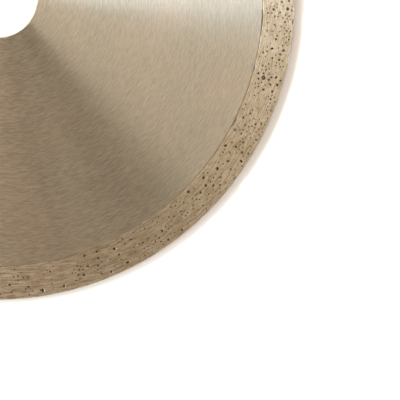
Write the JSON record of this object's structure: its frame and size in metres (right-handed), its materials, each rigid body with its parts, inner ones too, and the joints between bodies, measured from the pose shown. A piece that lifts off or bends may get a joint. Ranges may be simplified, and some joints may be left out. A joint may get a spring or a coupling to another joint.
{
  "type": "diamond blade",
  "caption": "Round cutting disc: a ground steel core with a plain arbor bore, and a continuous sintered diamond rim keyed round its edge.",
  "frame": {"origin": "centre of the bore, halfway through the blade's thickness", "axes": "+Z along the blade's axis of rotation; X and Y lie in the blade's middle plane"},
  "size_m": [0.15, 0.15, 0.0022],
  "materials": {
    "ground_steel": "ground in circles about the bore, satin, warm grey",
    "metal_bond": "sintered bronze bond with diamond grit, ground flanks, pitted"
  },
  "bodies": {
    "root": {"steel_core": "ground_steel", "diamond_rim": "metal_bond"}
  },
  "joints": []
}
